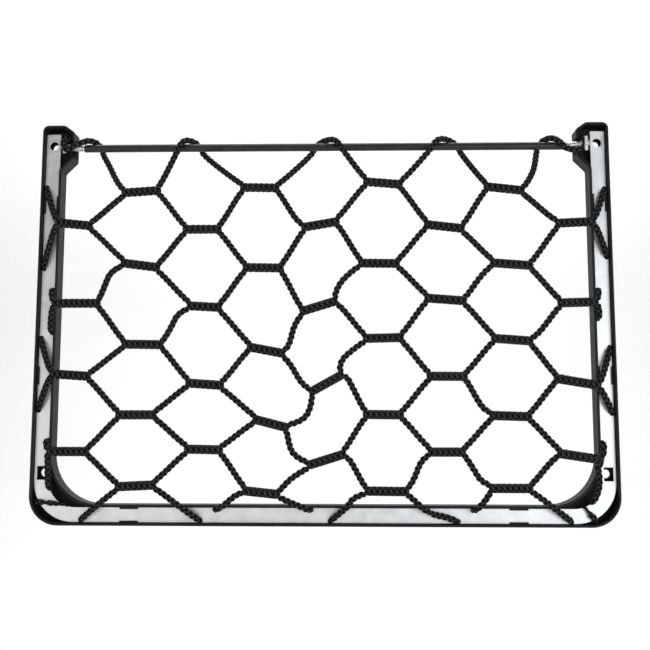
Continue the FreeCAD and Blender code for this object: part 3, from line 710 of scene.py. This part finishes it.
def squeeze_at_strip(line):
    """1 where the cord is squeezed round the strip or a spring, 0 where it is free."""
    x, depth, z = line.T
    wide, drop = np.abs(x), -z
    inner, outer = smooth_between(*SQUEEZE_INNER_Y, depth), smooth_between(*SQUEEZE_OUTER_Y, depth)
    places = [(x > 0) * smooth_between(*SQUEEZE_HOOK_X, wide) * smooth_between(*SQUEEZE_HOOK_Z, z),
              smooth_between(*SQUEEZE_SPRING_X, wide) * smooth_between(*SQUEEZE_SPRING_Y, depth),
              smooth_between(*SQUEEZE_CORNER_DROP, drop) * smooth_between(*SQUEEZE_CORNER_X, wide) * outer]
    for across, (rim, middle) in ((wide, SQUEEZE_ARM_X), (drop, SQUEEZE_BOTTOM_DROP)):
        outwards = smooth_between(middle - SQUEEZE_MIDDLE_RUN, middle + SQUEEZE_MIDDLE_RUN, across)
        share = inner + (outer - inner) * outwards
        places.append(smooth_between(rim, rim + SQUEEZE_RIM_RUN, across) * share)
    return np.maximum.reduce(places)


def braided_cord(line):
    """The strands and the core of one braided cord: tubes with one ring for each point of the line."""
    normal, side = room_frame(line)
    steps = np.arange(len(line)) * CORD_STEP
    radius = CORD_MID_R + (CORD_LINK_R - CORD_MID_R) * nearness_to_links(line)
    radius = radius + (CORD_TIGHT_R - radius) * squeeze_at_strip(line)
    turn = 2 * math.pi * steps / CORD_PITCH
    share = radius / CORD_MID_R
    phase = np.cos(STRANDS_EACH_WAY * turn)
    tubes = []
    for way in (-1, 1):
        for k in range(STRANDS_EACH_WAY):
            angle = way * turn + 2 * math.pi * k / STRANDS_EACH_WAY
            tubes.append(strand_tube(line, normal, side, angle, radius, radius, way * phase, share))
    core = 2 * CORE_SHARE * radius
    # The core has no painted highlight, so the yarn's colour paints it in shade.
    tubes.append(tube_along(line, side, normal, core, core, STRAND_SIDES))
    return tubes


def cut_tube(tube, low, high):
    """The stretch of a tube between two of its rings."""
    verts, _, painted_crest_light = tube
    kept = slice(low * STRAND_SIDES, (high + 1) * STRAND_SIDES)
    return verts[kept], tube_faces(high + 1 - low, STRAND_SIDES), painted_crest_light[kept]


def cord_piece(name, tubes, low, high):
    """One mesh of a cord's tubes between two rings."""
    pieces = Pieces()
    for tube in tubes:
        pieces.add(*cut_tube(tube, low, high))
    return pieces.make(name, "cord")


def build_cord(cord):
    """One cord of the net. The top one is in three pieces: its middle and its two ends."""
    line = even_steps(spline_line(cord_route(cord)), CORD_STEP)
    tubes = braided_cord(line)
    node = "net_cord_%02d" % cord
    if cord > 1:
        piece = cord_piece("cord_%02d" % cord, tubes, 0, len(line) - 1)
        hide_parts(node)
        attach(piece, "frame")
        return
    inside = np.nonzero(np.abs(line[:, 0]) < BAR_SPLIT_X)[0]
    first, last = int(inside[0]), int(inside[-1])
    middle = cord_piece("cord_01_middle", tubes, first, last)
    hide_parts(node)
    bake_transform(middle)
    for word, low, high, side in (("left", 0, first, -1), ("right", last, len(line) - 1, 1)):
        end = cord_piece("cord_01_" + word, tubes, low, high)
        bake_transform(end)


for cord in range(1, 11):
    build_cord(cord)


def build_weave(name, left, right, y):
    """An oval braid round the two cords of a link, whose strands dive between the cords at both ends."""
    start, end = np.array([left[0], y, left[1]]), np.array([right[0], y, right[1]])
    length = np.linalg.norm(end - start)
    count = int(length / WEAVE_STEP) + 1
    steps = np.linspace(0, length, count)
    along = (end - start) / length
    line = start + along * steps[:, None]
    normal = np.tile([0, -1.0, 0], (count, 1))
    side = np.tile(np.cross(along, normal[0]), (count, 1))
    ends = (smooth_between(-WEAVE_OVERHANG, WEAVE_TAPER, steps)
            * smooth_between(-WEAVE_OVERHANG, WEAVE_TAPER, length - steps))
    a = WEAVE_HALF_WIDTH * ends
    b = WEAVE_HALF_DEPTH * (WEAVE_END_SHARE + (1 - WEAVE_END_SHARE) * ends)
    turn = 2 * math.pi * (steps - length / 2) / WEAVE_PITCH + BRAID_START
    phase = np.cos(STRANDS_EACH_WAY * turn)
    pieces = Pieces()
    # The weave's core has no painted highlight, so the yarn's colour paints it in shade.
    pieces.add(*tube_along(line, side, normal, 2 * CORE_SHARE * a, 2 * CORE_SHARE * b, STRAND_SIDES))
    for way in (-1, 1):
        for k in range(STRANDS_EACH_WAY):
            angle = way * turn + 2 * math.pi * k / STRANDS_EACH_WAY
            pieces.add(*strand_tube(line, normal, side, angle, a, b, way * phase, np.ones(count)))
    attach(pieces.make(name, "cord"), "frame")


for number, (left, right, depth) in enumerate(link_lines()):
    build_weave("weave_%02d" % (number + 1), left, right, depth)


# ================================ Springs ================================
def build_spring(side, word):
    """A close-wound coil whose last turn leads into a loop round the hook plate's neck."""
    start = np.array([side * SPRING_START_X, BAR_Y, BAR_Z])
    loop_centre = np.array([side * SPRING_LOOP_X, HOOK_Y, HOOK_Z])
    along = unit(loop_centre - start)
    room = np.array([0, -1.0, 0])
    sideways = np.cross(along, room)
    n = np.arange(SPRING_TURNS * COIL_STEPS + 1)
    angle = (2 * math.pi * n / COIL_STEPS)[:, None]
    coil = start + along * SPRING_PITCH * (n / COIL_STEPS)[:, None] + (
        room * np.cos(angle) + sideways * np.sin(angle)) * SPRING_R
    upright = np.cross([side, 0, 0], room)
    turned = (2 * math.pi * np.arange(2, COIL_STEPS + 1) / COIL_STEPS)[:, None]
    loop = loop_centre + (room * np.cos(turned) + upright * np.sin(turned)) * SPRING_LOOP_R
    line = even_steps(np.concatenate([coil, loop]), SPRING_STEP)
    reach = ((line - start) @ along)[:, None]
    outward = unit(line - np.where(reach < SPRING_TURNS * SPRING_PITCH, start + along * reach, loop_centre))
    across = unit(np.cross(unit(np.gradient(line, axis=0)), outward))
    pieces = Pieces()
    pieces.add(*tube_along(line, across, outward, SPRING_WIRE, SPRING_WIRE_HIGH, SPRING_SIDES))
    spring = pieces.make("coil_" + word, "bright_steel")
    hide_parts("spring_" + word)
    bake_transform(spring)


for side, word in ((-1, "left"), (1, "right")):
    build_spring(side, word)


# ================================ CAD pieces that stay ================================
NODE_SLOTS = {"frame_channel": "frame_plastic", "steel_strip": "strip_steel", "bar_tube": "bar_coating",
              "hook_plate_left": "strip_steel", "hook_plate_right": "strip_steel",
              "bar_plug_left": "bright_steel", "bar_plug_right": "bright_steel"}
for node, slot in NODE_SLOTS.items():
    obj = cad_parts[node]
    for material_slot in obj.material_slots:
        material_slot.link = "OBJECT"
        material_slot.material = MATERIALS[slot]


# ================================ Stage, lights and camera ================================
def make_stage():
    """A pale floor that curves up into a back wall."""
    profile = [(FLOOR_FRONT_Y, FLOOR_Z), (SWEEP_START_Y, FLOOR_Z)]
    for i in range(1, SWEEP_STEPS):
        turn = math.radians(90 * i / SWEEP_STEPS)
        profile.append((SWEEP_START_Y + SWEEP_R * math.sin(turn), FLOOR_Z + SWEEP_R * (1 - math.cos(turn))))
    wall_y = SWEEP_START_Y + SWEEP_R
    profile += [(wall_y, FLOOR_Z + SWEEP_R), (wall_y, WALL_TOP_Z)]
    verts = [(x, y, z) for y, z in profile for x in (-FLOOR_HALF_WIDTH, FLOOR_HALF_WIDTH)]
    faces = [(2 * i, 2 * i + 1, 2 * i + 3, 2 * i + 2) for i in range(len(profile) - 1)]
    mesh = bpy.data.meshes.new("backdrop")
    mesh.from_pydata(verts, [], faces)
    mesh.polygons.foreach_set("use_smooth", [True] * len(faces))
    mesh.materials.append(make_backdrop())
    backdrop = bpy.data.objects.new("backdrop", mesh)
    bpy.context.scene.collection.objects.link(backdrop)


def add_light(name, place, target, size, watts, colour):
    """A rectangular area light that faces its target."""
    light = bpy.data.lights.new(name, "AREA")
    light.shape = "RECTANGLE"
    light.size, light.size_y = size
    light.energy = watts
    light.color = colour
    holder = bpy.data.objects.new(name, light)
    holder.location = place
    holder.rotation_euler = (Vector(target) - Vector(place)).to_track_quat("-Z", "Y").to_euler()
    bpy.context.scene.collection.objects.link(holder)


def add_camera():
    """A 50 mm lens 0.7 m from the wall, a little below the middle, looking slightly up."""
    forward = Vector((math.sin(CAMERA_YAW) * math.cos(CAMERA_PITCH),
                      math.cos(CAMERA_YAW) * math.cos(CAMERA_PITCH), math.sin(CAMERA_PITCH)))
    level = Vector((math.cos(CAMERA_YAW), -math.sin(CAMERA_YAW), 0))
    upright = level.cross(forward)
    right = level * math.cos(CAMERA_ROLL) + upright * math.sin(CAMERA_ROLL)
    up = upright * math.cos(CAMERA_ROLL) - level * math.sin(CAMERA_ROLL)
    data = bpy.data.cameras.new("camera")
    data.lens = CAMERA_LENS
    data.sensor_width = CAMERA_SENSOR
    data.clip_start, data.clip_end = 0.01, 50
    camera = bpy.data.objects.new("camera", data)
    turn = Matrix((right, up, -forward)).transposed().to_4x4()
    camera.matrix_world = Matrix.Translation(CAMERA_PLACE) @ turn
    bpy.context.scene.collection.objects.link(camera)
    bpy.context.scene.camera = camera


def add_world():
    """A weak even white light from all round."""
    world = bpy.data.worlds.new("world")
    world.use_nodes = True
    background = next(n for n in world.node_tree.nodes if n.type == "BACKGROUND")
    background.inputs["Color"].default_value = (1, 1, 1, 1)
    background.inputs["Strength"].default_value = WORLD_STRENGTH
    bpy.context.scene.world = world


make_stage()
add_camera()
for light in LIGHTS:
    add_light(*light)
add_world()
bpy.context.scene.view_settings.view_transform = "Standard"
